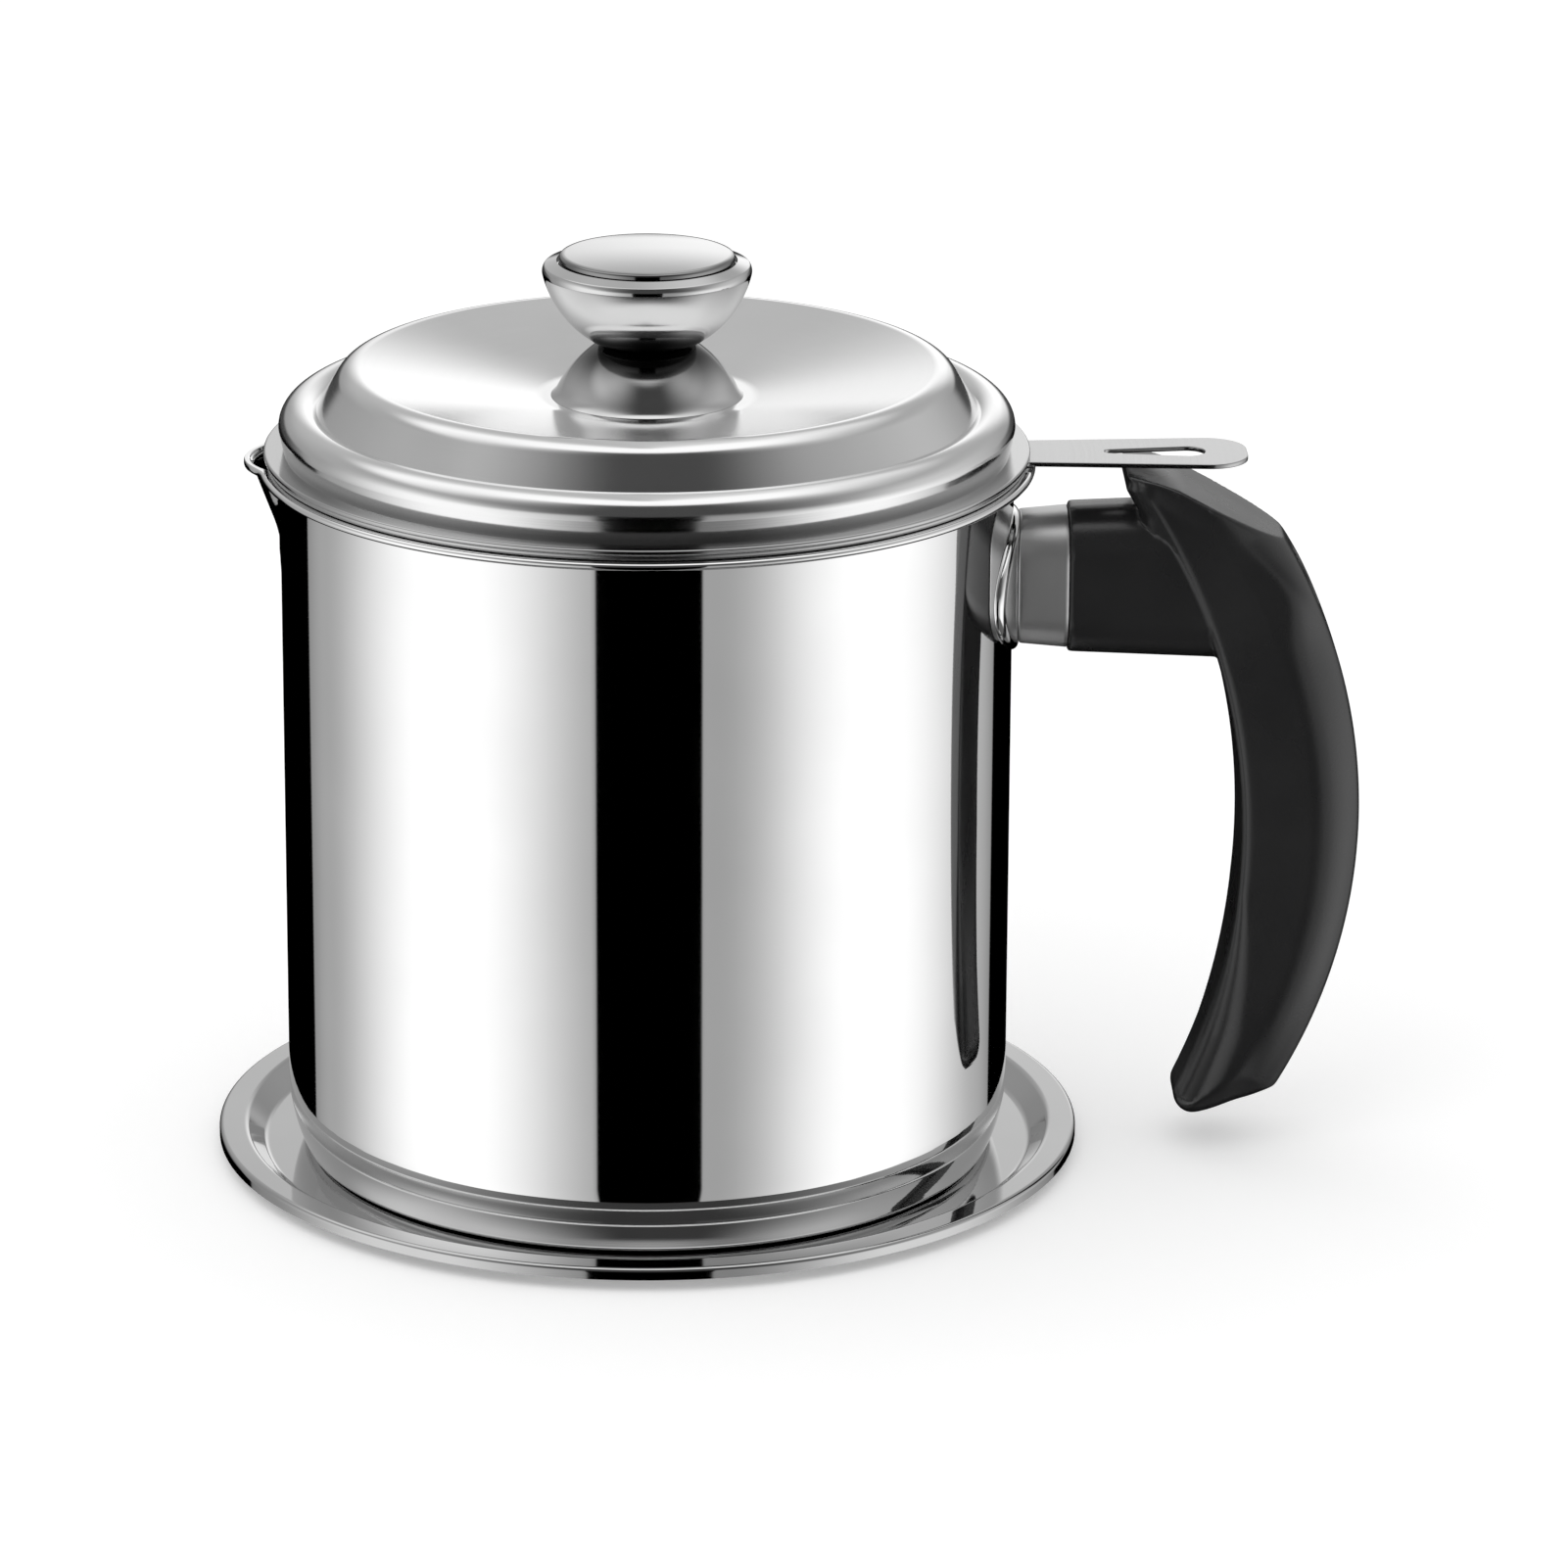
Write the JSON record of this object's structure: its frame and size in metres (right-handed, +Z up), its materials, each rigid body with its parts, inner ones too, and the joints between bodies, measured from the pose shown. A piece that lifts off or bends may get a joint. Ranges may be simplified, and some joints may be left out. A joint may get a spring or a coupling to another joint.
{
  "type": "grease container",
  "caption": "Cylindrical stainless pot with a pouring spout and curved side grip, holding a lift-out gauze strainer with a thumb tab under a domed knobbed lid, on a shallow drip tray.",
  "frame": {"origin": "centre of the drip tray's flat underside, on the pot's axis", "axes": "+Z up along the pot's axis, +X out along the grip and the strainer's tab, away from the spout"},
  "size_m": [0.1898, 0.1436, 0.1528],
  "materials": {
    "stainless": "polished stainless steel sheet",
    "gauze": "fine plain-woven stainless wire cloth",
    "fasteners": "bright zinc-plated steel",
    "bush": "turned brass",
    "grip": "satin black moulded phenolic"
  },
  "bodies": {
    "tray": {"drip_tray": "stainless"},
    "pot": {"pot_body": "stainless", "handle_bracket": "stainless", "flame_guard": "stainless", "handle_grip": "grip", "handle_screw": "fasteners", "handle_screw_washer": "fasteners"},
    "strainer": {"strainer_rim": "stainless", "strainer_cup": "stainless", "strainer_gauze": "gauze", "gauze_retainer": "stainless"},
    "lid": {"lid_shell": "stainless", "knob_foot": "stainless", "knob_bowl": "stainless", "knob_cap": "stainless", "knob_bush": "bush", "knob_screw": "fasteners", "knob_washer": "fasteners"}
  },
  "joints": [
    {"name": "pot_lift", "type": "slide", "parent": "tray", "child": "pot", "axis": [0, 0, 1], "range_m": [0, 0.06]},
    {"name": "strainer_lift", "type": "slide", "parent": "pot", "child": "strainer", "axis": [0, 0, 1], "range_m": [0, 0.08]},
    {"name": "lid_lift", "type": "slide", "parent": "strainer", "child": "lid", "axis": [0, 0, 1], "range_m": [0, 0.1]}
  ]
}
